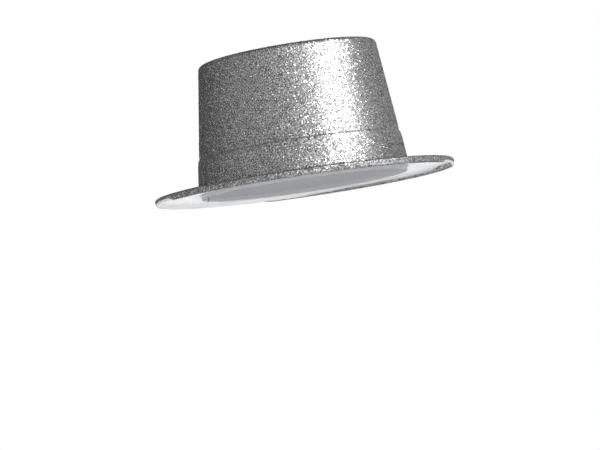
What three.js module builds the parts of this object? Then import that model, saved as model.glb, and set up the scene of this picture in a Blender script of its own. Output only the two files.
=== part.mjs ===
// A glitter party top hat in millimetres: +Z up, +X to the front, standing on the edge of its brim.
// Every piece is first made round, at the radius it has at the front, and then drawn in at the sides
// to the oval of a head.
import * as THREE from 'three';
import { mergeVertices } from 'three/addons/utils/BufferGeometryUtils.js';

// Driving dimensions.
const HEIGHT = 128.5;          // from the table to the top of the crown
const FOOT_FRONT = 104.5;      // from the middle to the foot of the crown, to the front
const FOOT_SIDE = 86;          // the same, to the side
const BRIM_WIDTH = 43;
const BRIM_HEIGHT = 6.8;       // top of the brim above the edge of its turned-down lip
const CROWN_DRAFT = 15;        // how far the crown leans in over its height
const TOP_RADIUS = 5;          // rounded edge between the side of the crown and its top
const FOOT_RADIUS = 1;         // hollow corner between the crown and the brim
const LIP_RADIUS = 2.2;        // rounded edge between the brim and its lip

const WALL = 0.8;              // moulded sheet
const COAT = 0.4;              // glitter on its glue
const GAP = 0.3;               // clearance between pieces that touch
const LIP_WRAP = 2.2;          // how far the glitter runs up inside the lip

const BAND_HEIGHT = 31;
const BAND_THICKNESS = 0.4;
const BAND_SHOULDER = 3.5;     // height of its top edge, which slopes in to the crown
const BAND_STAND_OFF = 0.7;    // clearance to the crown just below that shoulder
const BAND_LAP = 12;           // degrees by which its ends overlap at the back

const SWEATBAND_HEIGHT = 30;
const SWEATBAND_THICKNESS = 1;
const SWEATBAND_FOOT = 1.2;    // its lower edge above the table, just under the brim
const SWEATBAND_LAP = 10;

const LABEL_WIDTH = 16;        // degrees of the sweatband that it covers
const LABEL_HEIGHT = 14;
const LABEL_THICKNESS = 0.35;

const SEGMENTS = 60;
const STEP = 360 / SEGMENTS;   // degrees
const LAP_RAMP = 9;            // degrees in which a strip's end climbs over its start
const BACK = 180;              // degrees from the front

// Worked out from them.
const SIDE_PULL = FOOT_FRONT - FOOT_SIDE;
const LEAN = Math.atan(CROWN_DRAFT / (HEIGHT - BRIM_HEIGHT));
const EDGE = FOOT_FRONT + BRIM_WIDTH;
const SHELL_OUTSIDE = COAT + GAP;
const SHELL_INSIDE = SHELL_OUTSIDE + WALL;

// Distance of the crown's outer face from the middle at a height, before its corners are rounded.
const crownRadius = (z) => FOOT_FRONT - (z - BRIM_HEIGHT) * Math.tan(LEAN);

// Centres of the three rounded corners of the outer face.
const faceDistance = FOOT_FRONT * Math.cos(LEAN) + BRIM_HEIGHT * Math.sin(LEAN);
const onFace = (z, offset) => (faceDistance + offset - z * Math.sin(LEAN)) / Math.cos(LEAN);
const topCentre = [onFace(HEIGHT - TOP_RADIUS, -TOP_RADIUS), HEIGHT - TOP_RADIUS];
const footCentre = [onFace(BRIM_HEIGHT + FOOT_RADIUS, FOOT_RADIUS), BRIM_HEIGHT + FOOT_RADIUS];
const lipCentre = [EDGE - LIP_RADIUS, BRIM_HEIGHT - LIP_RADIUS];
const lipFoot = SHELL_OUTSIDE; // height of the moulded sheet's cut edge

// Points of an arc in the radius and height plane, from one angle to another.
function arc([r, z], radius, from, to, steps) {
  return Array.from({ length: steps + 1 }, (_, i) => {
    const angle = from + ((to - from) * i) / steps;
    return [r + radius * Math.cos(angle), z + radius * Math.sin(angle)];
  });
}

// The outer face moved inwards by a depth: the crown from its middle to its foot, and the brim.
const crownLine = (depth) => [
  [0, HEIGHT - depth],
  ...arc(topCentre, TOP_RADIUS - depth, Math.PI / 2, LEAN, 5),
];
const footLine = (depth) =>
  arc(footCentre, FOOT_RADIUS + depth, Math.PI + LEAN, Math.PI * 1.5, 3);
const lipLine = (depth) => arc(lipCentre, LIP_RADIUS - depth, Math.PI / 2, 0, 5);
const crownEnd = (depth) => arc(footCentre, FOOT_RADIUS + depth, Math.PI + LEAN, Math.PI, 1)[0];

// Draws a round solid in at the sides. Inside the rounded top edge the oval shrinks to the middle.
function drawIn(geometry) {
  const position = geometry.attributes.position;
  for (let i = 0; i < position.count; i++) {
    const radius = Math.hypot(position.getX(i), position.getY(i));
    position.setY(i, position.getY(i) * (1 - SIDE_PULL / Math.max(radius, topCentre[0])));
  }
  return geometry;
}

// Leaves only positions, with shared vertices merged.
function merged(geometry) {
  geometry.deleteAttribute('normal');
  geometry.deleteAttribute('uv');
  const solid = mergeVertices(geometry, 1e-3);
  solid.computeVertexNormals();
  return solid;
}

// Turns a closed profile of [radius, height] points, given outside first and from the top down.
function turned(profile) {
  const points = [...profile].reverse().map(([r, z]) => new THREE.Vector2(r, z));
  if (profile[0][0] > 0) points.push(points[0].clone());
  const lathe = new THREE.LatheGeometry(points, SEGMENTS);
  lathe.rotateX(Math.PI / 2);
  return merged(drawIn(lathe));
}

// A strip that stands round the hat. radiusAt gives its inner face at its lower edge for an angle in
// degrees, and stations say how far it leans in at each height above that edge.
function strip({ from, to, radiusAt, thickness, foot, stations }) {
  const count = Math.round((to - from) / STEP);
  const angles = Array.from({ length: count + 1 }, (_, i) => from + ((to - from) * i) / count);
  const edge = (extra) => angles.map((degrees) => {
    const angle = THREE.MathUtils.degToRad(degrees);
    const radius = radiusAt(degrees) + extra;
    return new THREE.Vector2(radius * Math.cos(angle), radius * Math.sin(angle));
  });
  const outline = new THREE.Shape([...edge(thickness), ...edge(0).reverse()]);
  const steps = stations.length - 1;
  const solid = new THREE.ExtrudeGeometry(outline, { depth: steps, steps, bevelEnabled: false });
  const position = solid.attributes.position;
  for (let i = 0; i < position.count; i++) {
    const [x, y] = [position.getX(i), position.getY(i)];
    const [rise, leanIn] = stations[Math.round(position.getZ(i))];
    const scale = 1 - leanIn / Math.hypot(x, y);
    position.setXYZ(i, x * scale, y * scale, foot + rise);
  }
  return merged(drawIn(solid));
}

// A strip that runs once round from the back, its far end lapped over its start by climb.
function lappedStrip({ radius, climb, lap, ...size }) {
  const end = BACK + 360;
  const radiusAt = (degrees) => {
    const rise = THREE.MathUtils.clamp((degrees - end + LAP_RAMP) / LAP_RAMP, 0, 1);
    return radius + climb * rise;
  };
  return strip({ from: BACK, to: end + lap, radiusAt, ...size });
}

function mouldedShell() {
  return turned([
    ...crownLine(SHELL_OUTSIDE), ...footLine(SHELL_OUTSIDE), ...lipLine(SHELL_OUTSIDE),
    [EDGE - SHELL_OUTSIDE, lipFoot], [EDGE - SHELL_INSIDE, lipFoot],
    ...lipLine(SHELL_INSIDE).reverse(), ...footLine(SHELL_INSIDE).reverse(),
    ...crownLine(SHELL_INSIDE).reverse(),
  ]);
}

function crownGlitter() {
  return turned([
    ...crownLine(0), crownEnd(0).map((v, i) => (i ? v + GAP : v)),
    crownEnd(COAT).map((v, i) => (i ? v + GAP : v)), ...crownLine(COAT).reverse(),
  ]);
}

function brimGlitter() {
  const underLip = (thickness) => [
    ...arc([EDGE - SHELL_OUTSIDE, lipFoot], thickness, 0, -Math.PI / 2, 3),
    ...arc([EDGE - SHELL_INSIDE, lipFoot], thickness, -Math.PI / 2, -Math.PI, 3),
    [EDGE - SHELL_INSIDE - thickness, LIP_WRAP],
  ];
  return turned([
    ...footLine(0), ...lipLine(0), ...underLip(SHELL_OUTSIDE),
    ...underLip(GAP).reverse(), ...lipLine(COAT).reverse(), ...footLine(COAT).reverse(),
  ]);
}

function hatBand() {
  const foot = BRIM_HEIGHT + FOOT_RADIUS + GAP;
  const radius = crownRadius(foot) + GAP;
  const station = (rise, clearance) => [rise, radius - crownRadius(foot + rise) - clearance];
  return lappedStrip({
    radius,
    climb: BAND_THICKNESS + GAP,
    lap: BAND_LAP,
    thickness: BAND_THICKNESS,
    foot,
    stations: [
      station(0, GAP), station(BAND_HEIGHT - BAND_SHOULDER, BAND_STAND_OFF), station(BAND_HEIGHT, GAP),
    ],
  });
}

// Inner face of the sweatband at its lower edge, and how far it leans in with the crown.
const sweatbandRadius = crownRadius(SWEATBAND_FOOT)
  - (SHELL_INSIDE + GAP) / Math.cos(LEAN) - SWEATBAND_THICKNESS;

// Stations of a flat strip that leans in with the crown.
const leaning = (height) => [[0, 0], [height, height * Math.tan(LEAN)]];

function sweatband() {
  return lappedStrip({
    radius: sweatbandRadius,
    climb: -SWEATBAND_THICKNESS - GAP,
    lap: SWEATBAND_LAP,
    thickness: SWEATBAND_THICKNESS,
    foot: SWEATBAND_FOOT,
    stations: leaning(SWEATBAND_HEIGHT),
  });
}

function blankLabel() {
  const lift = (SWEATBAND_HEIGHT - LABEL_HEIGHT) / 2;
  const from = BACK + SWEATBAND_LAP + STEP;
  const inner = sweatbandRadius - GAP - LABEL_THICKNESS - lift * Math.tan(LEAN);
  return strip({
    from,
    to: from + LABEL_WIDTH,
    radiusAt: () => inner,
    thickness: LABEL_THICKNESS,
    foot: SWEATBAND_FOOT + lift,
    stations: leaning(LABEL_HEIGHT),
  });
}

const finishes = {
  white_plastic: { color: 0xe9ebee, roughness: 0.42, metalness: 0 },
  silver_glitter: { color: 0xa9aaac, roughness: 0.35, metalness: 0.85 },
  grey_tape: { color: 0xb9bbbf, roughness: 0.85, metalness: 0 },
  white_label: { color: 0xf4f4f2, roughness: 0.7, metalness: 0 },
};

const pieces = [
  ['moulded_shell', mouldedShell, 'white_plastic'],
  ['crown_glitter', crownGlitter, 'silver_glitter'],
  ['brim_glitter', brimGlitter, 'silver_glitter'],
  ['hat_band', hatBand, 'silver_glitter'],
  ['sweatband', sweatband, 'grey_tape'],
  ['blank_label', blankLabel, 'white_label'],
];

const hat = new THREE.Group();
for (const [name, make, finish] of pieces) {
  const mesh = new THREE.Mesh(make(), new THREE.MeshStandardMaterial(finishes[finish]));
  mesh.name = name;
  hat.add(mesh);
}

export default hat;
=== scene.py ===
"""Looks for a silver glitter party top hat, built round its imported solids.

+X is the front of the hat, +Z is up, and everything is in metres. Every new piece is made round, at
the radius it has at the front, and then drawn in at the sides to the oval of a head.
"""
import math

import bmesh
import bpy
from mathutils import Matrix, Quaternion, Vector


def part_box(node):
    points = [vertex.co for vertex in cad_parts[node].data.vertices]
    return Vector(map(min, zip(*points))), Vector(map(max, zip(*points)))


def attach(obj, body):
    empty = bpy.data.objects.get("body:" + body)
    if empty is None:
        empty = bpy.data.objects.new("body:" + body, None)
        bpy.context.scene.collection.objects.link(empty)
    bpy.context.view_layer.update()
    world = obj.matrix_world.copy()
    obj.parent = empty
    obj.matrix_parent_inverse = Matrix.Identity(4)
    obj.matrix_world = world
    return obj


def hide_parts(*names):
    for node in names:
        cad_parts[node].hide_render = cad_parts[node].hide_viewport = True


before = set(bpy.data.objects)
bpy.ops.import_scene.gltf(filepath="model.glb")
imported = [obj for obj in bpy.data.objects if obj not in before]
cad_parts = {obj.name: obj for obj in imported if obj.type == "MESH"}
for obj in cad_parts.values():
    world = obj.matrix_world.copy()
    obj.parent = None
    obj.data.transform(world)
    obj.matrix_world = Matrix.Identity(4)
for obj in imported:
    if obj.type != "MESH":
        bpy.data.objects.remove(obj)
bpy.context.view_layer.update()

MM = 0.001
BODY = "root"
FULL_TURN = 2 * math.pi

# Sizes that the frame gives.
BRIM_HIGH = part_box("brim_glitter")[1]
BAND_LOW, BAND_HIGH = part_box("hat_band")
SWEAT_LOW, SWEAT_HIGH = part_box("sweatband")
LABEL_LOW, LABEL_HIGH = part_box("blank_label")
EDGE = BRIM_HIGH.x
SIDE_PULL = BRIM_HIGH.x - BRIM_HIGH.y
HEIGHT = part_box("crown_glitter")[1].z

# Sizes that the hat's maker chose, as in the solids.
BRIM_TOP = 6.8 * MM
FOOT = EDGE - 43 * MM
DRAFT = 15 * MM
TOP_RADIUS = 5 * MM
FOOT_RADIUS = 1 * MM
LIP_RADIUS = 2.2 * MM
WALL = 0.8 * MM
COAT = 0.4 * MM
GAP = 0.3 * MM
SHELL_OUTSIDE = COAT + GAP
SHELL_INSIDE = SHELL_OUTSIDE + WALL

# How far the sprayed glitter runs down the lip, round its cut edge and up inside: degrees from the
# front, and millimetres. It covers only the upper part of the lip across the back and beside the
# front. Its border is ragged by these waves: millimetres, and how many there are in a full turn.
GLITTER_REACH = (
    (-124, 1.7), (-120, 6.4), (2, 6.4), (6, 1.9), (29, 1.9), (34, 9.5), (50, 9.3), (55, 7.6),
    (100, 7.4), (120, 5.4), (150, 2.2), (236, 1.7))
RAGGED = ((0.22, 9), (0.16, 23))
WALL_TOP = BRIM_TOP - LIP_RADIUS
CORNER_REACH = 0.5 * MM        # counted for going round each corner of the cut edge
LIP_ZONE = 3 * MM              # how far in from the edge the coat's section can belong to the lip

# The hat band stands this far off the crown's glitter, from its foot to its shoulder and its top.
BAND_FOOT_PROUD = 0.7 * MM
BAND_PROUD = 1.12 * MM
BAND_TOP_PROUD = 0.32 * MM
BAND_SHOULDER = 2.4 * MM
BAND_STEPS = 8                 # points up its face, and next over its shoulder
SHOULDER_STEPS = 6
SHOULDER_CURVE = 1.3
BAND_THICKNESS = 0.4 * MM
BAND_TOP_GAP = 0.2 * MM        # from the crown's glitter to the inside of its thin top edge
BAND_TOP_EDGE = 0.1 * MM
BAND_CLIMB = 0.7 * MM          # how far its far end rises over its near one
BAND_LAP = 12                  # degrees

# The sweatband is a woven tape with its lower edge turned up and sewn down.
TAPE_THICKNESS = 1 * MM
TAPE_HEM = 5 * MM
TAPE_HEM_STEP = 0.16 * MM
TAPE_CLIMB = -1.3 * MM         # inwards
TAPE_LAP = 10                  # degrees
STITCH_HEIGHT = 3.6 * MM       # above the tape's lower edge
STITCH_PITCH = 3.3 * MM
STITCH_LENGTH = 2.5 * MM
STITCH_THICKNESS = 0.42 * MM

LABEL_START = 196              # degrees from the front, and next its width
LABEL_TURN = 16
LABEL_THICKNESS = 0.35 * MM
LABEL_STITCHES = 4             # down each side, and next how far in they are, in degrees
LABEL_STITCH_INSET = 0.9

RAMP = 9                       # degrees in which a strip's end climbs over its start
STRIP_STEP = 1.5               # degrees
TURNS = 240                    # steps of a full turn of a section
MERGE = 0.01 * MM

# The glitter: a bed of flakes in the glue, and larger ones that stand out of it, slanted at random.
BED_FLAKE_WIDTH = 1.2 * MM
FLAKE_WIDTH = 1.35 * MM
FLAKE_THICKNESS = 0.2 * MM
FLAKE_SPACING = 1.95 * MM
FLAKE_SIZES = (0.7, 1.15)      # smallest and largest, times the width
BRIGHT_SLANT = 0.28            # radians
SOFT_SLANT = 0.15
DULL_SLANT = 0.12
STRAY_SLANT = 0.3
CROWN_SEED = 11                # and one more for each shade
BRIM_SEED = 31
BAND_SEED = 51
STRAY_SEED = 71
FLAKES_OVER_BAND = 1.0 * MM    # where the crown's flakes start above the band
LIP_FLAKES_FOOT = 3.2 * MM     # height down to which the dull ones go on the lip
STRAY_SPACING = 7 * MM
STRAY_REACH = 30               # millimetres in from the lip
STRAY_AMOUNT = 0.5
LOWER_EDGE_SHADE = (0.5 * MM, 2.0 * MM)    # heights between which the painted shade on the lip's lower edge fades out
RUBBED_LIP = (BRIM_TOP - 1.6 * MM, BRIM_TOP - 0.05 * MM)

LEAN = math.atan(DRAFT / (HEIGHT - BRIM_TOP))
FACE = FOOT * math.cos(LEAN) + BRIM_TOP * math.sin(LEAN)

# The studio.
HAT_MIDDLE = Vector((0, 0, 57 * MM))
FLOOR_LEVEL = -1.2
FLOOR_SIZE = 14
CAMERA_AZIMUTH = 31.0          # degrees, from the wearer's right towards the front
CAMERA_ELEVATION = -5.75
CAMERA_DISTANCE = 2.5
CAMERA_ROLL = -7.75
CAMERA_TILT = -2.12
CAMERA_PAN = -0.083
LENS = 157.8
LIGHT_DISTANCE = 2.0
KEY_AZIMUTH = CAMERA_AZIMUTH + 36
KEY_ELEVATION = 29.5
KEY_SIZE = (1.15, 0.56)
KEY_GLOW = 14.5
FILL_AZIMUTH = CAMERA_AZIMUTH
FILL_ELEVATION = 32
FILL_SIZE = (1.6, 0.6)
FILL_GLOW = 1.15
DARK_CORNER = CAMERA_AZIMUTH - 145
PALE_CORNER = CAMERA_AZIMUTH + 120
WALL_LEVEL = 0.40
DARK_CORNER_FALL = 0.30
PALE_CORNER_RISE = 0.05
CEILING_FALL = 0.62
CEILING_RISE = (0.68, 0.92)    # sines of the elevations between which the walls become the ceiling
CORNER_FOOT = 0.14             # the same, by which the dark corner has come in from the horizon
FLOOR_LIGHT = 2.55
FLOOR_LIGHT_ANGLE = 40         # degrees


def on_face(z, offset=0.0):
    """Radius of the crown's leaning face, moved out by an offset, at a height."""
    return (FACE + offset - z * math.sin(LEAN)) / math.cos(LEAN)


TOP_CENTRE = (on_face(HEIGHT - TOP_RADIUS, -TOP_RADIUS), HEIGHT - TOP_RADIUS)
FOOT_CENTRE = (on_face(BRIM_TOP + FOOT_RADIUS, FOOT_RADIUS), BRIM_TOP + FOOT_RADIUS)
LIP_CENTRE = (EDGE - LIP_RADIUS, BRIM_TOP - LIP_RADIUS)


# Shader maths and materials.

class Value:
    """A socket that numbers are worked out with as in a formula."""

    def __init__(self, tree, socket):
        self.tree = tree
        self.socket = socket

    def maths(self, operation, first, second=0.0):
        return self.tree.node("ShaderNodeMath", {"operation": operation}, {0: first, 1: second})

    def other(self, output):
        """Another output of the node that this one comes from."""
        return Value(self.tree, self.socket.node.outputs[output])

    def __add__(self, other):
        return self.maths("ADD", self, other)

    def __radd__(self, other):
        return self.maths("ADD", other, self)

    def __sub__(self, other):
        return self.maths("SUBTRACT", self, other)

    def __rsub__(self, other):
        return self.maths("SUBTRACT", other, self)

    def __mul__(self, other):
        return self.maths("MULTIPLY", self, other)

    def __rmul__(self, other):
        return self.maths("MULTIPLY", other, self)


class Tree:
    """A node tree that is written one call for each node."""

    def __init__(self, tree):
        self.tree = tree

    def node(self, kind, settings=None, inputs=None, output=0):
        made = self.tree.nodes.new(kind)
        for name, setting in (settings or {}).items():
            setattr(made, name, setting)
        for name, value in (inputs or {}).items():
            self.put(made.inputs[name], value)
        if len(made.outputs) == 0:
            return made
        return Value(self, made.outputs[output])

    def put(self, socket, value):
        if isinstance(value, Value):
            self.tree.links.new(value.socket, socket)
        else:
            socket.default_value = value

    def vector(self, operation, *inputs, scale=None, output=0):
        sockets = dict(enumerate(inputs))
        if scale is not None:
            sockets["Scale"] = scale
        return self.node("ShaderNodeVectorMath", {"operation": operation}, sockets, output)

    def mix(self, factor, first, second):
        return self.node(
            "ShaderNodeMix", {"data_type": "RGBA"}, {0: factor, 6: first, 7: second}, output=2)

    def smooth(self, value, low, high):
        """0 below low and 1 above high, with a smooth rise between them."""
        settings = {"interpolation_type": "SMOOTHSTEP"}
        return self.node("ShaderNodeMapRange", settings, {0: value, 1: low, 2: high})

    def height_of(self, place):
        return self.node("ShaderNodeSeparateXYZ", {}, {0: place}, output="Z")


class Finish(Tree):
    """A material: a Principled shader whose plain numbers are set on its own sockets."""

    def __init__(self, name, **sockets):
        self.material = bpy.data.materials.new(name)
        self.material.use_nodes = True
        super().__init__(self.material.node_tree)
        self.shader = self.tree.nodes["Principled BSDF"]
        self.set(**sockets)

    def set(self, **sockets):
        for name, value in sockets.items():
            self.put(self.shader.inputs[name.replace("_", " ")], value)

    def place(self):
        return self.node("ShaderNodeTexCoord", output="Object")

    def noise(self, scale, detail=2.0):
        inputs = {"Vector": self.place(), "Scale": scale, "Detail": detail}
        return self.node("ShaderNodeTexNoise", {}, inputs)

    def threads(self, direction, pitch):
        """Ridges a pitch apart on the piece's own map, along its length (Y) or across it (X)."""
        place = self.node("ShaderNodeUVMap", {"uv_map": "tape"})
        inputs = {"Vector": place, "Scale": FULL_TURN / 20 / pitch}
        return self.node("ShaderNodeTexWave", {"bands_direction": direction}, inputs, output="Fac")

    def bump(self, height, distance, strength=1.0):
        inputs = {"Height": height, "Distance": distance, "Strength": strength}
        return self.node("ShaderNodeBump", {}, inputs)


def grey(value):
    return (value, value, value, 1)


def glitter_finish():
    """Small flakes lying close together on grey glue, each turned its own way.

    They are rubbed dull on the lip, and a painted shade darkens the coat halfway to near black along
    its lower edge.
    """
    finish = Finish("silver glitter", Metallic=1.0)
    place = finish.place()
    cell = {"Vector": place, "Scale": 1 / BED_FLAKE_WIDTH}
    chance = finish.node("ShaderNodeTexVoronoi", {"feature": "F1"}, cell, output="Color")
    split = finish.node("ShaderNodeSeparateColor", {}, {0: chance})
    shade = split.other("Green")
    lift = finish.vector("SUBTRACT", chance, (0.5, 0.5, 0.5))
    length = finish.vector("LENGTH", lift, output="Value")
    tilt = finish.vector("SCALE", lift, scale=length * length * length * 1.3)
    normal = finish.node("ShaderNodeNewGeometry", output="Normal")
    turned_flake = finish.vector("NORMALIZE", finish.vector("ADD", normal, tilt))
    edge = finish.node("ShaderNodeTexVoronoi", {"feature": "DISTANCE_TO_EDGE"}, cell)
    flake = finish.smooth(edge, 0.02, 0.09)
    patch = finish.noise(45, 3.0)
    height = finish.height_of(place)
    # painted shade: full below 0.5 mm and gone by 2 mm up, it darkens the lip's lower edge
    lower_edge_shade = 1 - finish.smooth(height, *LOWER_EDGE_SHADE)
    rubbed = 1 - finish.smooth(height, *RUBBED_LIP)
    colour = finish.mix(shade, grey(0.12), (0.95, 0.955, 0.97, 1))
    colour = finish.mix(patch * 0.25, colour, grey(0.42))
    colour = finish.mix(flake, grey(0.12), colour)
    finish.set(
        # painted shade along the lower edge, mixed halfway to dark grey
        Base_Color=finish.mix(lower_edge_shade * 0.5, colour, grey(0.10)),
        Roughness=0.5 - flake * 0.14 + split * 0.06 + rubbed * 0.16,
        Normal=turned_flake,
    )
    return finish.material


def flake_finish(name, tint, roughness):
    """A single flake's metallised film."""
    return Finish(name, Base_Color=tint, Metallic=1.0, Roughness=roughness).material


def plastic_finish():
    """White moulded sheet: satin, a little uneven from the forming, with a few dull patches."""
    finish = Finish(
        "white plastic", IOR=1.53, Subsurface_Weight=0.08, Subsurface_Radius=(0.004, 0.004, 0.004))
    patches = finish.noise(38, 3.0)
    grain = finish.noise(2600, 2.0)
    finish.set(
        Base_Color=finish.mix(patches, (0.80, 0.81, 0.83, 1), (0.88, 0.885, 0.89, 1)),
        Roughness=0.34 + patches * 0.18,
        Normal=finish.bump(grain * 0.35 + finish.noise(60) * 1.2, 0.12 * MM),
    )
    return finish.material


def tape_finish():
    """Pale grey woven tape, with ribs across its width and threads along it."""
    finish = Finish("grey tape", IOR=1.45, Sheen_Weight=0.35, Sheen_Roughness=0.4)
    fuzz = finish.noise(900, 3.0)
    weave = finish.threads("X", 0.9 * MM) * 0.7 + finish.threads("Y", 0.5 * MM) * 0.3
    colour = finish.mix(weave, (0.40, 0.41, 0.43, 1), (0.64, 0.65, 0.67, 1))
    finish.set(
        Base_Color=finish.mix(fuzz * 0.35, colour, (0.5, 0.5, 0.52, 1)),
        Roughness=0.78 + fuzz * 0.15,
        Normal=finish.bump(weave + fuzz * 0.4, 0.18 * MM),
    )
    return finish.material


def label_finish():
    """Plain white woven satin."""
    finish = Finish("white label", IOR=1.45, Sheen_Weight=0.3)
    satin = finish.threads("DIAGONAL", 0.45 * MM)
    finish.set(
        Base_Color=finish.mix(satin, (0.80, 0.80, 0.79, 1), (0.90, 0.90, 0.885, 1)),
        Roughness=0.55 + satin * 0.15,
        Normal=finish.bump(satin, 0.06 * MM),
    )
    return finish.material


def thread_finish():
    """White sewing thread."""
    finish = Finish("white thread", IOR=1.45)
    ply = finish.noise(3000, 1.0)
    finish.set(
        Base_Color=finish.mix(ply, (0.62, 0.62, 0.64, 1), (0.80, 0.80, 0.81, 1)),
        Roughness=0.7 + ply * 0.1,
        Normal=finish.bump(ply, 0.05 * MM),
    )
    return finish.material


def floor_finish():
    """Plain pale floor, very slightly clouded."""
    finish = Finish("pale floor", Roughness=0.85)
    finish.set(Base_Color=finish.mix(finish.noise(1.5), grey(0.80), grey(0.83)))
    return finish.material


# Shapes.

def arc(centre, radius, start, end, steps):
    """Points of an arc in the plane of radius and height."""
    angles = [start + (end - start) * i / steps for i in range(steps + 1)]
    return [(centre[0] + radius * math.cos(a), centre[1] + radius * math.sin(a)) for a in angles]


def between(start, end, steps):
    """Points strictly between two, evenly spaced."""
    return [tuple(Vector(start).lerp(Vector(end), i / steps)) for i in range(1, steps)]


def crown_line(depth):
    """The crown's outside from the middle of its top to its foot, moved in by a depth."""
    top = HEIGHT - depth
    flat = [(TOP_CENTRE[0] * i / 12, top) for i in range(12)]
    corner = arc(TOP_CENTRE, TOP_RADIUS - depth, math.pi / 2, LEAN, 10)
    foot = foot_line(depth)[0]
    return flat + corner + between(corner[-1], foot, 20)


def foot_line(depth):
    """The hollow corner between the crown and the brim."""
    return arc(FOOT_CENTRE, FOOT_RADIUS + depth, math.pi + LEAN, math.pi * 1.5, 5)


def brim_line(depth):
    """The brim's top, from the hollow corner to the lip."""
    height = BRIM_TOP - depth
    return between((FOOT_CENTRE[0], height), (LIP_CENTRE[0], height), 10)


def lip_line(depth):
    """The rounded edge of the lip."""
    return arc(LIP_CENTRE, LIP_RADIUS - depth, math.pi / 2, 0, 9)


def round_lip(reach, thickness):
    """Where a coat is that lies this thick on the lip's wall, this far down, round and up inside."""
    wall = WALL_TOP - SHELL_OUTSIDE
    centre = EDGE - SHELL_OUTSIDE
    if reach <= wall:
        return centre + thickness, WALL_TOP - reach
    reach -= wall
    if reach <= CORNER_REACH:
        return arc((centre, SHELL_OUTSIDE), thickness, -math.pi / 2 * reach / CORNER_REACH, 0, 1)[0]
    reach -= CORNER_REACH
    if reach <= WALL:
        return centre - reach, SHELL_OUTSIDE - thickness
    reach -= WALL
    centre -= WALL
    turn = min(reach / CORNER_REACH, 1)
    corner = arc((centre, SHELL_OUTSIDE), thickness, -math.pi / 2 * (1 + turn), 0, 1)[0]
    return corner[0], corner[1] + max(reach - CORNER_REACH, 0)


def reach_steps():
    """Distances down, round and up inside the lip at which the coat's section has its points."""
    wall = WALL_TOP - SHELL_OUTSIDE
    inner_corner = wall + CORNER_REACH + WALL
    down = [wall * i / 3 for i in range(4)]
    outer_turn = [wall + CORNER_REACH * i / 3 for i in range(1, 4)]
    inner_turn = [inner_corner + CORNER_REACH * i / 3 for i in range(4)]
    up = [inner_turn[-1] + wall * i / 4 for i in range(1, 5)]
    return down + outer_turn + inner_turn + up


def glitter_reach(degrees):
    """How far the glitter goes round the lip there, with its ragged border."""
    first = GLITTER_REACH[0][0]
    degrees = (degrees - first) % 360 + first
    for (start, low), (end, high) in zip(GLITTER_REACH, GLITTER_REACH[1:]):
        if degrees <= end:
            break
    reach = low + (high - low) * (degrees - start) / (end - start)
    ragged = sum(size * math.sin(math.radians(degrees * waves)) for size, waves in RAGGED)
    return (reach + ragged) * MM


def end_glitter(bm):
    """Draws the coat round the lip back to where the glitter ends."""
    tail = [(reach, depth, round_lip(reach, depth))
            for reach in reach_steps() for depth in (SHELL_OUTSIDE, GAP)]
    for vertex in bm.verts:
        radius = math.hypot(vertex.co.x, vertex.co.y)
        if radius < EDGE - LIP_ZONE or vertex.co.z > WALL_TOP + MERGE:
            continue
        reach, depth, _ = min(
            tail, key=lambda spot: math.hypot(spot[2][0] - radius, spot[2][1] - vertex.co.z))
        limit = glitter_reach(math.degrees(math.atan2(vertex.co.y, vertex.co.x)))
        if reach > limit:
            end, height = round_lip(limit, depth)
            vertex.co = (vertex.co.x * end / radius, vertex.co.y * end / radius, height)


def band_line():
    """Outer face of the hat band from its foot to its sloping shoulder."""
    foot, top = BAND_LOW.z, BAND_HIGH.z
    bend = top - BAND_SHOULDER
    line = []
    for i in range(BAND_STEPS + 1):
        z = foot + (bend - foot) * i / BAND_STEPS
        swell = (BAND_PROUD - BAND_FOOT_PROUD) * i / BAND_STEPS
        line.append((on_face(z) + BAND_FOOT_PROUD + swell, z))
    for i in range(1, SHOULDER_STEPS + 1):
        z = bend + BAND_SHOULDER * i / SHOULDER_STEPS
        fall = (i / SHOULDER_STEPS) ** SHOULDER_CURVE
        proud = BAND_PROUD - (BAND_PROUD - BAND_TOP_PROUD) * fall
        line.append((on_face(z) + proud, z))
    return line


def draw_in(bm):
    """Draws round work in at the sides. Inside the rounded top edge the oval shrinks to the middle."""
    for vertex in bm.verts:
        radius = math.hypot(vertex.co.x, vertex.co.y)
        vertex.co.y *= 1 - SIDE_PULL / max(radius, TOP_CENTRE[0])


def girth(radius):
    """Length of the oval that a circle of a radius is drawn in to."""
    points = []
    for i in range(TURNS + 1):
        angle = FULL_TURN * i / TURNS
        pull = 1 - SIDE_PULL / radius
        points.append(Vector((radius * math.cos(angle), radius * math.sin(angle) * pull)))
    return sum((b - a).length for a, b in zip(points, points[1:]))


def finished(name, bm, material, smooth=True):
    """Makes a piece of a bmesh, all in one material."""
    mesh = bpy.data.meshes.new(name)
    for face in bm.faces:
        face.smooth = smooth
    bm.to_mesh(mesh)
    bm.free()
    mesh.materials.append(material)
    piece = bpy.data.objects.new(name, mesh)
    bpy.context.scene.collection.objects.link(piece)
    return piece


def placed(piece, slot, *nodes):
    """Ties a piece to the hat and hides the solids that it stands for. Its slot is not used."""
    if nodes:
        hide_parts(*nodes)
    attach(piece, BODY)
    return piece


def section_of(bm, profile):
    """A section's points, standing at the front, and the edges between them."""
    verts = [bm.verts.new((r, 0, z)) for r, z in profile]
    return verts, [bm.edges.new(pair) for pair in zip(verts, verts[1:])]


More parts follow.
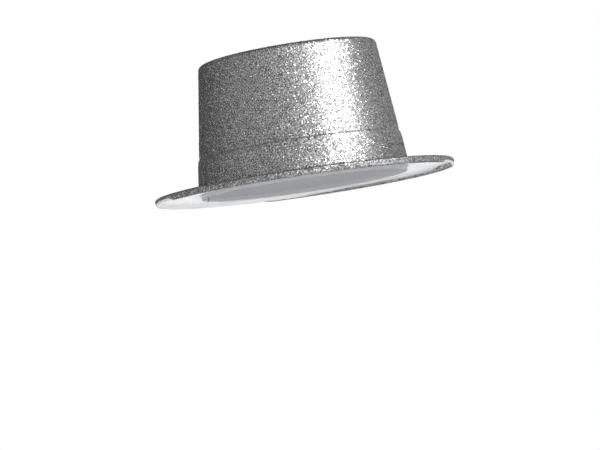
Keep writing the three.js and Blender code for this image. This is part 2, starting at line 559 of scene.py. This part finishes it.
def turned(profile, closed=True, trim=None):
    """A profile of (radius, height) points, turned once round the middle and drawn in.

    It goes from the top down and outwards, with the outer side first, so that faces point out.
    """
    bm = bmesh.new()
    verts, edges = section_of(bm, profile)
    if closed and profile[0][0] > 0:
        edges.append(bm.edges.new((verts[-1], verts[0])))
    bmesh.ops.spin(
        bm, geom=verts + edges, axis=(0, 0, 1), cent=(0, 0, 0), angle=FULL_TURN,
        steps=TURNS, use_merge=True)
    if trim:
        trim(bm)
    bmesh.ops.remove_doubles(bm, verts=bm.verts, dist=MERGE)
    draw_in(bm)
    bmesh.ops.recalc_face_normals(bm, faces=bm.faces)
    if not closed:
        (r0, z0), (r1, z1) = profile[:2]
        middle = Vector(((r0 + r1) / 2, 0, (z0 + z1) / 2))
        first = min(bm.faces, key=lambda face: (face.calc_center_median() - middle).length)
        if first.normal.dot(Vector((z0 - z1, 0, r1 - r0))) < 0:
            bmesh.ops.reverse_faces(bm, faces=bm.faces)
    return bm


def strip(profile, start, turn, climb=0.0):
    """A strip's section taken round from a start, with its far end lapped over the near one.

    Its map, "tape", gives the distance along it and the height, both in metres.
    """
    bm = bmesh.new()
    along = bm.verts.layers.float.new("along")
    verts, edges = section_of(bm, profile)
    edges.append(bm.edges.new((verts[-1], verts[0])))
    bm.faces.new(verts)
    bmesh.ops.rotate(bm, verts=verts, cent=(0, 0, 0), matrix=Matrix.Rotation(
        math.radians(start), 3, "Z"))
    steps = round(turn / STRIP_STEP)
    step = math.radians(turn / steps)
    section = verts + edges
    risen = 0.0
    for i in range(1, steps + 1):
        made = bmesh.ops.spin(
            bm, geom=section, axis=(0, 0, 1), cent=(0, 0, 0), angle=step, steps=1)
        section = made["geom_last"]
        ramp = min(max((math.degrees(i * step) - 360 + RAMP) / RAMP, 0), 1)
        rise = climb * ramp * ramp * (3 - 2 * ramp) - risen
        risen += rise
        for vertex in section:
            if isinstance(vertex, bmesh.types.BMVert):
                vertex.co += Vector((vertex.co.x, vertex.co.y, 0)).normalized() * rise
                vertex[along] = i * step
    bmesh.ops.contextual_create(bm, geom=[e for e in section if isinstance(e, bmesh.types.BMEdge)])
    chart = bm.loops.layers.uv.new("tape")
    reach = profile[0][0] - SIDE_PULL / 2
    for face in bm.faces:
        for loop in face.loops:
            loop[chart].uv = (loop.vert[along] * reach, loop.vert.co.z)
    draw_in(bm)
    bmesh.ops.recalc_face_normals(bm, faces=bm.faces)
    return bm


def stitches(name, places, material):
    """Short thread stitches, each given by its middle, its direction and its outward side."""
    bm = bmesh.new()
    for middle, forwards, side in places:
        turn = Matrix((forwards, side.cross(forwards), side)).transposed().to_4x4()
        size = Matrix.Diagonal((STITCH_LENGTH / 2, STITCH_THICKNESS / 2, STITCH_THICKNESS / 2, 1))
        bmesh.ops.create_uvsphere(
            bm, u_segments=6, v_segments=6, radius=1,
            matrix=Matrix.Translation(middle) @ turn @ size @ Matrix.Rotation(math.pi / 2, 4, "Y"))
    return finished(name, bm, material)


def oval_point(radius, angle, z):
    """A point at a height on the oval that a circle of a radius is drawn in to."""
    return Vector((radius * math.cos(angle), (radius - SIDE_PULL) * math.sin(angle), z))


def shell(material):
    profile = (
        crown_line(SHELL_OUTSIDE) + foot_line(SHELL_OUTSIDE) + brim_line(SHELL_OUTSIDE)
        + lip_line(SHELL_OUTSIDE)
        + [(EDGE - SHELL_OUTSIDE, SHELL_OUTSIDE), (EDGE - SHELL_INSIDE, SHELL_OUTSIDE)]
        + lip_line(SHELL_INSIDE)[::-1] + brim_line(SHELL_INSIDE)[::-1]
        + foot_line(SHELL_INSIDE)[::-1] + crown_line(SHELL_INSIDE)[::-1])
    placed(finished("shell", turned(profile), material), "white_plastic", "moulded_shell")


def crown_coat(material):
    ends = [(r, z + GAP) for r, z in (foot_line(depth)[0] for depth in (0, COAT))]
    profile = crown_line(0) + ends + crown_line(COAT)[::-1]
    placed(finished("crown_coat", turned(profile), material), "silver_glitter", "crown_glitter")


def brim_coat(material):
    outer, inner = [
        foot_line(depth) + brim_line(depth) + lip_line(depth)
        + [round_lip(reach, SHELL_OUTSIDE - depth) for reach in reach_steps()[1:]]
        for depth in (0, COAT)]
    bm = turned(outer + inner[::-1], trim=end_glitter)
    placed(finished("brim_coat", bm, material), "silver_glitter", "brim_glitter")


def hat_band(material):
    foot, top = BAND_LOW.z, BAND_HIGH.z
    bend = top - BAND_SHOULDER
    inside = [(on_face(top) + BAND_TOP_GAP, top - BAND_TOP_EDGE),
              (on_face(bend) + BAND_PROUD - BAND_THICKNESS, bend), (on_face(foot) + GAP, foot)]
    bm = strip(band_line() + inside, 180, 360 + BAND_LAP, climb=BAND_CLIMB)
    placed(finished("band", bm, material), "silver_glitter", "hat_band")


def sweat_face(z):
    """Radius of the sweatband's face that touches the head."""
    inner = SWEAT_HIGH.x - TAPE_THICKNESS
    return inner - (z - SWEAT_LOW.z) * math.tan(LEAN)


def sweatband(material, thread):
    foot, top = SWEAT_LOW.z, SWEAT_HIGH.z
    fold = foot + TAPE_HEM
    face = [(foot + 0.25 * MM, 0.0), (foot + 1.0 * MM, -TAPE_HEM_STEP),
            (fold - 0.6 * MM, -TAPE_HEM_STEP), (fold, 0.1 * MM), (foot + 16 * MM, 0.0),
            (top - 0.3 * MM, 0.0)]
    inside = [(sweat_face(z) + step, z) for z, step in face]
    outside = [(sweat_face(z) + TAPE_THICKNESS, z) for z in (top - 0.3 * MM, foot + 0.3 * MM)]
    ridge = [(sweat_face(top) + TAPE_THICKNESS / 2, top)]
    keel = [(sweat_face(foot) + TAPE_THICKNESS / 2, foot)]
    bm = strip(inside + ridge + outside + keel, 180, 360 + TAPE_LAP, climb=TAPE_CLIMB)
    tape = placed(finished("sweatband_tape", bm, material), "grey_tape", "sweatband")

    height = foot + STITCH_HEIGHT
    radius = sweat_face(height) - TAPE_HEM_STEP
    count = round(girth(radius) / STITCH_PITCH)
    places = []
    for i in range(count):
        angle = FULL_TURN * (i + 0.5) / count + math.pi
        if i < count * TAPE_LAP / 360 + 2 or i > count * (360 - RAMP) / 360:
            continue
        spot = oval_point(radius, angle, height)
        ahead = (oval_point(radius, angle + 0.01, height) - spot).normalized()
        places.append((spot, ahead, ahead.cross(Vector((0, 0, 1)))))
    sewing = placed(stitches("hem_stitches", places, thread), "grey_tape")
    length = girth(sweat_face((foot + top) / 2)) * (360 + TAPE_LAP) / 360


def blank_label(material, thread):
    foot, top = LABEL_LOW.z, LABEL_HIGH.z
    lift = GAP + LABEL_THICKNESS
    profile = [(sweat_face(z) - lift + LABEL_THICKNESS * side, z) for z, side in (
        (foot, 0.25), (foot + 0.2 * MM, 0), ((foot + top) / 2, -0.4), (top - 0.2 * MM, 0),
        (top, 0.25), (top, 0.75), (top - 0.2 * MM, 1), (foot + 0.2 * MM, 1), (foot, 0.75))]
    bm = strip(profile, LABEL_START, LABEL_TURN)
    label = placed(finished("plain_label", bm, material), "white_label", "blank_label")

    places = []
    for degrees in (LABEL_START + LABEL_STITCH_INSET, LABEL_START + LABEL_TURN - LABEL_STITCH_INSET):
        for i in range(LABEL_STITCHES):
            height = foot + (top - foot) * (i + 0.5) / LABEL_STITCHES
            spot = oval_point(sweat_face(height) - lift, math.radians(degrees), height)
            ahead = (oval_point(sweat_face(top) - lift, math.radians(degrees), top)
                     - oval_point(sweat_face(foot) - lift, math.radians(degrees), foot)).normalized()
            inwards = Vector((-spot.x, -spot.y, 0))
            inwards = (inwards - ahead * inwards.dot(ahead)).normalized()
            places.append((spot, ahead, inwards))
    sewing = placed(stitches("label_stitches", places, thread), "white_label")
    width = girth(sweat_face((foot + top) / 2)) * LABEL_TURN / 360


def flakes(name, profile, material, seed, slant, spacing=FLAKE_SPACING, amount=1.0):
    """Six-sided flakes standing a little out of the glue all over a turned profile."""
    skin = finished(name, turned(profile, closed=False), material, smooth=False)
    group = bpy.data.node_groups.new(name, "GeometryNodeTree")
    for way in ("INPUT", "OUTPUT"):
        group.interface.new_socket("Geometry", in_out=way, socket_type="NodeSocketGeometry")
    tree = Tree(group)
    points = tree.node(
        "GeometryNodeDistributePointsOnFaces", {"distribute_method": "POISSON"},
        {"Mesh": tree.node("NodeGroupInput"), "Distance Min": spacing,
         "Density Max": 4 / spacing ** 2, "Density Factor": amount, "Seed": seed})
    flake = tree.node(
        "GeometryNodeMeshCone", {"fill_type": "NGON"},
        {"Vertices": 6, "Radius Top": FLAKE_WIDTH / 2, "Radius Bottom": 0.0,
         "Depth": FLAKE_THICKNESS})
    tilt = tree.node(
        "FunctionNodeRandomValue", {"data_type": "FLOAT_VECTOR"},
        {"Min": (-slant, -slant, -math.pi), "Max": (slant, slant, math.pi), "Seed": seed + 1})
    turn = tree.node(
        "FunctionNodeRotateRotation", {"rotation_space": "LOCAL"},
        {"Rotation": points.other("Rotation"), "Rotate By": tilt})
    size = tree.node(
        "FunctionNodeRandomValue", {"data_type": "FLOAT"},
        {2: FLAKE_SIZES[0], 3: FLAKE_SIZES[1], "Seed": seed + 2}, output=1)
    laid = tree.node(
        "GeometryNodeInstanceOnPoints", {},
        {"Points": points, "Instance": flake, "Rotation": turn, "Scale": size})
    real = tree.node("GeometryNodeRealizeInstances", {}, {"Geometry": laid})
    tree.node("NodeGroupOutput", {}, {"Geometry": real})
    skin.modifiers.new("flakes", "NODES").node_group = group
    graph = bpy.context.evaluated_depsgraph_get()
    mesh = bpy.data.meshes.new_from_object(skin.evaluated_get(graph))
    skin.modifiers.clear()
    skin.data = mesh
    mesh.materials.clear()
    mesh.materials.append(material)
    return placed(skin, "silver_glitter")


def scatter_flakes():
    """Flakes of three shades all over the glitter, and a few strays on the brim's underside."""
    bright = flake_finish("bright flake", (0.86, 0.865, 0.88, 1), 0.30)
    soft = flake_finish("soft flake", (0.62, 0.62, 0.635, 1), 0.38)
    dull = flake_finish("dull flake", grey(0.27), 0.45)
    crown = [p for p in crown_line(0) if p[1] > BAND_HIGH.z + FLAKES_OVER_BAND]
    brim = brim_line(0)
    brim_and_lip = brim + lip_line(0) + [(EDGE, LIP_FLAKES_FOOT)]
    band = [p for p in band_line()[::-1] if p[1] < BAND_HIGH.z - BAND_SHOULDER]
    kinds = (("bright", bright, BRIGHT_SLANT, brim), ("soft", soft, SOFT_SLANT, brim),
             ("dull", dull, DULL_SLANT, brim_and_lip))
    for index, (tint, finish, slant, rim) in enumerate(kinds):
        flakes(f"crown_flakes_{tint}", crown, finish, CROWN_SEED + index, slant)
        flakes(f"brim_flakes_{tint}", rim, finish, BRIM_SEED + index, slant / 2)
        flakes(f"band_flakes_{tint}", band, finish, BAND_SEED + index, slant)
    under = [(LIP_CENTRE[0] - inwards * MM, BRIM_TOP - SHELL_INSIDE)
             for inwards in range(0, STRAY_REACH + 1, 3)]
    flakes("stray_flakes", under, bright, STRAY_SEED, STRAY_SLANT, STRAY_SPACING, STRAY_AMOUNT)


# The studio.

def outwards(azimuth, elevation):
    """Direction from the hat: azimuth 0 is the wearer's right, 90 the front."""
    a, e = math.radians(azimuth), math.radians(elevation)
    return Vector((math.sin(a) * math.cos(e), -math.cos(a) * math.cos(e), math.sin(e)))


def soft_light(name, azimuth, elevation, size, glow):
    """A soft light that faces the hat. Glow is its brightness, whatever its size."""
    lamp = bpy.data.lights.new(name, "AREA")
    lamp.shape = "RECTANGLE"
    lamp.size, lamp.size_y = size
    lamp.energy = glow * math.pi * size[0] * size[1]
    light = bpy.data.objects.new(name, lamp)
    away = outwards(azimuth, elevation)
    light.location = HAT_MIDDLE + away * LIGHT_DISTANCE
    light.rotation_euler = away.to_track_quat("Z", "Y").to_euler()
    light.visible_camera = False
    bpy.context.scene.collection.objects.link(light)


def room():
    """White backdrop to the eye. The hat mirrors a grey room with a darker ceiling and back."""
    world = bpy.data.worlds.new("studio")
    bpy.context.scene.world = world
    world.use_nodes = True
    tree = Tree(world.node_tree)
    direction = tree.node("ShaderNodeTexCoord", output="Generated")

    def towards(azimuth, low, high):
        near = tree.vector("DOT_PRODUCT", direction, outwards(azimuth, 0), output="Value")
        return tree.smooth(near, low, high)

    height = tree.height_of(direction)
    dark_corner = towards(DARK_CORNER, 0.35, 1.0) * tree.smooth(height, 0.0, CORNER_FOOT)
    pale_corner = towards(PALE_CORNER, 0.3, 1.0)
    walls = WALL_LEVEL - dark_corner * DARK_CORNER_FALL + pale_corner * PALE_CORNER_RISE
    ceiling = tree.smooth(height, *CEILING_RISE)
    seen = tree.node("ShaderNodeLightPath", output="Is Camera Ray")
    level = seen + (1 - seen) * walls * (1 - ceiling * CEILING_FALL)
    tree.put(world.node_tree.nodes["Background"].inputs["Strength"], level)
    tree.put(world.node_tree.nodes["Background"].inputs["Color"], grey(1.0))


def floor():
    """A pale floor well below the worn hat, with a light of its own that reaches nothing else."""
    bm = bmesh.new()
    bmesh.ops.create_grid(
        bm, x_segments=1, y_segments=1, size=FLOOR_SIZE / 2,
        matrix=Matrix.Translation((0, 0, FLOOR_LEVEL)))
    ground = finished("floor", bm, floor_finish(), smooth=False)
    lamp = bpy.data.lights.new("floor light", "SUN")
    lamp.energy = FLOOR_LIGHT
    lamp.angle = math.radians(FLOOR_LIGHT_ANGLE)
    light = bpy.data.objects.new("floor light", lamp)
    only_floor = bpy.data.collections.new("lit by the floor light")
    only_floor.objects.link(ground)
    light.light_linking.receiver_collection = only_floor
    bpy.context.scene.collection.objects.link(light)


def studio():
    """The room, the floor and the two lights."""
    room()
    floor()
    soft_light("key", KEY_AZIMUTH, KEY_ELEVATION, KEY_SIZE, KEY_GLOW)
    soft_light("fill", FILL_AZIMUTH, FILL_ELEVATION, FILL_SIZE, FILL_GLOW)


def camera():
    """Looks from slightly under the brim, with the hat in the upper part of the picture."""
    data = bpy.data.cameras.new("camera")
    data.lens = LENS
    data.clip_end = 50
    made = bpy.data.objects.new("camera", data)
    away = outwards(CAMERA_AZIMUTH, CAMERA_ELEVATION)
    made.location = HAT_MIDDLE + away * CAMERA_DISTANCE
    turn = away.to_track_quat("Z", "Y")
    for axis, angle in (("Z", CAMERA_ROLL), ("X", CAMERA_TILT), ("Y", CAMERA_PAN)):
        along = Vector([axis == name for name in "XYZ"])
        turn = turn @ Quaternion(along, math.radians(angle))
    made.rotation_mode = "QUATERNION"
    made.rotation_quaternion = turn
    bpy.context.scene.collection.objects.link(made)
    bpy.context.scene.camera = made


camera()
studio()
glitter = glitter_finish()
thread = thread_finish()
shell(plastic_finish())
crown_coat(glitter)
brim_coat(glitter)
hat_band(glitter)
sweatband(tape_finish(), thread)
blank_label(label_finish(), thread)
scatter_flakes()

bpy.context.scene.view_settings.view_transform = "Standard"
